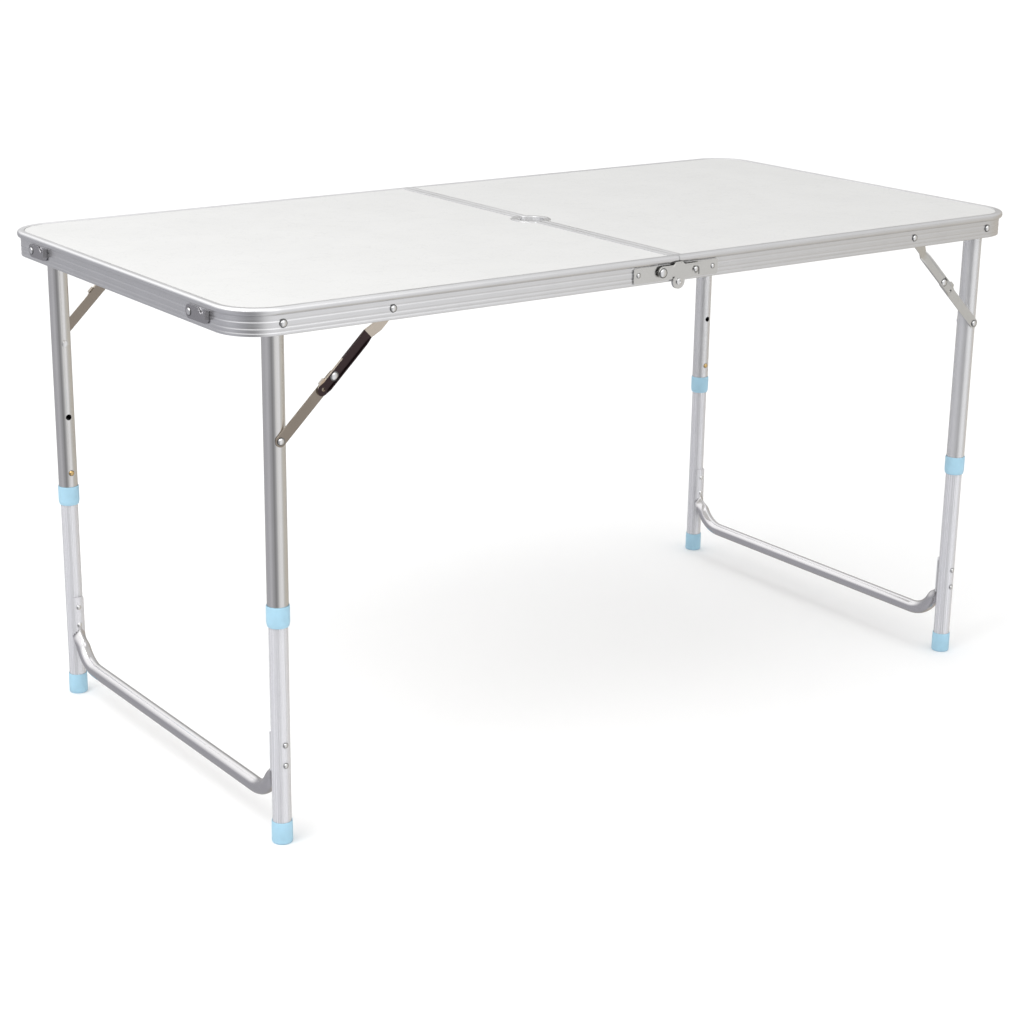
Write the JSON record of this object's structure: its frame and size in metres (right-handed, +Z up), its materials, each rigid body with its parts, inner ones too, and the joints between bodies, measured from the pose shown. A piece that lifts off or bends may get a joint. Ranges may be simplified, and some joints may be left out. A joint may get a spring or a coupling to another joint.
{
  "type": "folding picnic table",
  "caption": "Rectangular two-leaf camping table that folds in half, with height-adjustable tubular leg frames, folding stays, end latches and a parasol hole.",
  "frame": {"origin": "on the floor, midway between the outermost ends and sides of the open table", "axes": "+X along the top towards the end with the handle, +Y across the top, +Z up"},
  "size_m": [1.214, 0.6076, 0.63],
  "materials": {
    "laminate": "matt white printed laminate on thin fibreboard, with a faint crackle pattern",
    "rail_aluminium": "satin extruded",
    "tube_aluminium": "bright polished",
    "plated_steel": "zinc plated",
    "bright_steel": "bright plated",
    "brass": "plain brass, slightly dull",
    "blue_plastic": "smooth light blue moulded",
    "grey_plastic": "smooth grey moulded"
  },
  "bodies": {
    "left_leaf": {"board_left": "laminate", "edge_rail_left": "rail_aluminium", "centre_rail_left": "rail_aluminium", "leg_bolt_left_front": "bright_steel", "leg_bolt_left_back": "bright_steel", "hinge_plate_left_front": "plated_steel", "hinge_plate_left_back": "plated_steel", "hinge_pin_front": "bright_steel", "hinge_pin_back": "bright_steel"},
    "right_leaf": {"board_right": "laminate", "edge_rail_right": "rail_aluminium", "centre_rail_right": "rail_aluminium", "leg_bolt_right_front": "bright_steel", "leg_bolt_right_back": "bright_steel", "hinge_plate_right_front": "plated_steel", "hinge_plate_right_back": "plated_steel", "latch_stud_front": "bright_steel", "latch_stud_back": "bright_steel", "handle_cap_front": "grey_plastic", "handle_cap_back": "grey_plastic"},
    "lock_bar_front": {"lock_bar_front": "plated_steel"},
    "lock_bar_back": {"lock_bar_back": "plated_steel"},
    "left_leg_frame": {"upper_tube_left_front": "tube_aluminium", "upper_tube_left_back": "tube_aluminium", "collar_left_front": "blue_plastic", "collar_left_back": "blue_plastic", "stay_rivet_left_front": "bright_steel", "stay_rivet_left_back": "bright_steel"},
    "left_lower_frame": {"lower_tube_left_front": "tube_aluminium", "lower_tube_left_back": "tube_aluminium", "foot_left_front": "blue_plastic", "foot_left_back": "blue_plastic", "stretcher_left": "tube_aluminium"},
    "left_lower_links": {"lower_link_left_front": "plated_steel", "lower_link_left_back": "plated_steel"},
    "left_upper_links": {"upper_link_left_front": "plated_steel", "upper_link_left_back": "plated_steel"},
    "button_left_front": {"snap_button_left_front": "brass"},
    "button_left_back": {"snap_button_left_back": "brass"},
    "right_leg_frame": {"upper_tube_right_front": "tube_aluminium", "upper_tube_right_back": "tube_aluminium", "collar_right_front": "blue_plastic", "collar_right_back": "blue_plastic", "stay_rivet_right_front": "bright_steel", "stay_rivet_right_back": "bright_steel"},
    "right_lower_frame": {"lower_tube_right_front": "tube_aluminium", "lower_tube_right_back": "tube_aluminium", "foot_right_front": "blue_plastic", "foot_right_back": "blue_plastic", "stretcher_right": "tube_aluminium"},
    "right_lower_links": {"lower_link_right_front": "plated_steel", "lower_link_right_back": "plated_steel"},
    "right_upper_links": {"upper_link_right_front": "plated_steel", "upper_link_right_back": "plated_steel"},
    "button_right_front": {"snap_button_right_front": "brass"},
    "button_right_back": {"snap_button_right_back": "brass"},
    "latch_front": {"latch_front": "plated_steel"},
    "latch_back": {"latch_back": "plated_steel"},
    "handle": {"handle_grip": "grey_plastic"}
  },
  "joints": [
    {"name": "centre_fold", "type": "hinge", "parent": "left_leaf", "child": "right_leaf", "pos_m": [-0.005, 0, 0.599], "axis": [0, 1, 0], "range_deg": [0, 75]},
    {"name": "lock_bar_front_lift", "type": "hinge", "parent": "left_leaf", "child": "lock_bar_front", "pos_m": [-0.0316, -0.304, 0.612], "axis": [0, -1, 0], "range_deg": [0, 46]},
    {"name": "lock_bar_back_lift", "type": "hinge", "parent": "left_leaf", "child": "lock_bar_back", "pos_m": [-0.0316, 0.304, 0.612], "axis": [0, -1, 0], "range_deg": [0, 46]},
    {"name": "left_leg_fold", "type": "hinge", "parent": "left_leaf", "child": "left_leg_frame", "pos_m": [-0.547, 0, 0.612], "axis": [0, -1, 0], "range_deg": [0, 90]},
    {"name": "left_leg_slide", "type": "slide", "parent": "left_leg_frame", "child": "left_lower_frame", "axis": [0, 0, 1], "range_m": [0, 0.075]},
    {"name": "left_lower_link_turn", "type": "hinge", "parent": "left_leg_frame", "child": "left_lower_links", "pos_m": [-0.547, 0, 0.48], "axis": [0, -1, 0], "range_deg": [0, 47]},
    {"name": "left_upper_link_turn", "type": "hinge", "parent": "left_leaf", "child": "left_upper_links", "pos_m": [-0.409, 0, 0.612], "axis": [0, 1, 0], "range_deg": [0, 44]},
    {"name": "button_left_front_press", "type": "slide", "parent": "left_lower_frame", "child": "button_left_front", "axis": [0, -1, 0], "range_m": [0, 0.004], "stiffness_N_per_m": 800, "springref_m": -0.001},
    {"name": "button_left_back_press", "type": "slide", "parent": "left_lower_frame", "child": "button_left_back", "axis": [0, 1, 0], "range_m": [0, 0.004], "stiffness_N_per_m": 800, "springref_m": -0.001},
    {"name": "right_leg_fold", "type": "hinge", "parent": "right_leaf", "child": "right_leg_frame", "pos_m": [0.537, 0, 0.612], "axis": [0, 1, 0], "range_deg": [0, 90]},
    {"name": "right_leg_slide", "type": "slide", "parent": "right_leg_frame", "child": "right_lower_frame", "axis": [0, 0, 1], "range_m": [0, 0.075]},
    {"name": "right_lower_link_turn", "type": "hinge", "parent": "right_leg_frame", "child": "right_lower_links", "pos_m": [0.537, 0, 0.48], "axis": [0, 1, 0], "range_deg": [0, 47]},
    {"name": "right_upper_link_turn", "type": "hinge", "parent": "right_leaf", "child": "right_upper_links", "pos_m": [0.399, 0, 0.612], "axis": [0, -1, 0], "range_deg": [0, 44]},
    {"name": "button_right_front_press", "type": "slide", "parent": "right_lower_frame", "child": "button_right_front", "axis": [0, -1, 0], "range_m": [0, 0.004], "stiffness_N_per_m": 800, "springref_m": -0.001},
    {"name": "button_right_back_press", "type": "slide", "parent": "right_lower_frame", "child": "button_right_back", "axis": [0, 1, 0], "range_m": [0, 0.004], "stiffness_N_per_m": 800, "springref_m": -0.001},
    {"name": "latch_front_swing", "type": "hinge", "parent": "left_leaf", "child": "latch_front", "pos_m": [-0.603, -0.19, 0.612], "axis": [1, 0, 0], "range_deg": [0, 90]},
    {"name": "latch_back_swing", "type": "hinge", "parent": "left_leaf", "child": "latch_back", "pos_m": [-0.603, 0.22, 0.612], "axis": [1, 0, 0], "range_deg": [0, 90]},
    {"name": "handle_pull", "type": "slide", "parent": "right_leaf", "child": "handle", "axis": [1, 0, 0], "range_m": [0, 0.003]}
  ],
  "couplings": [
    {"joint": "lock_bar_front_lift", "follows": "centre_fold", "ratio": 0.6},
    {"joint": "lock_bar_back_lift", "follows": "centre_fold", "ratio": 0.6},
    {"joint": "left_leg_slide", "follows": "left_leg_fold", "m_per_rad": 0.0477},
    {"joint": "left_lower_link_turn", "follows": "left_leg_fold", "ratio": 0.5141},
    {"joint": "left_upper_link_turn", "follows": "left_leg_fold", "ratio": 0.4858},
    {"joint": "right_leg_slide", "follows": "right_leg_fold", "m_per_rad": 0.0477},
    {"joint": "right_lower_link_turn", "follows": "right_leg_fold", "ratio": 0.5141},
    {"joint": "right_upper_link_turn", "follows": "right_leg_fold", "ratio": 0.4858}
  ]
}
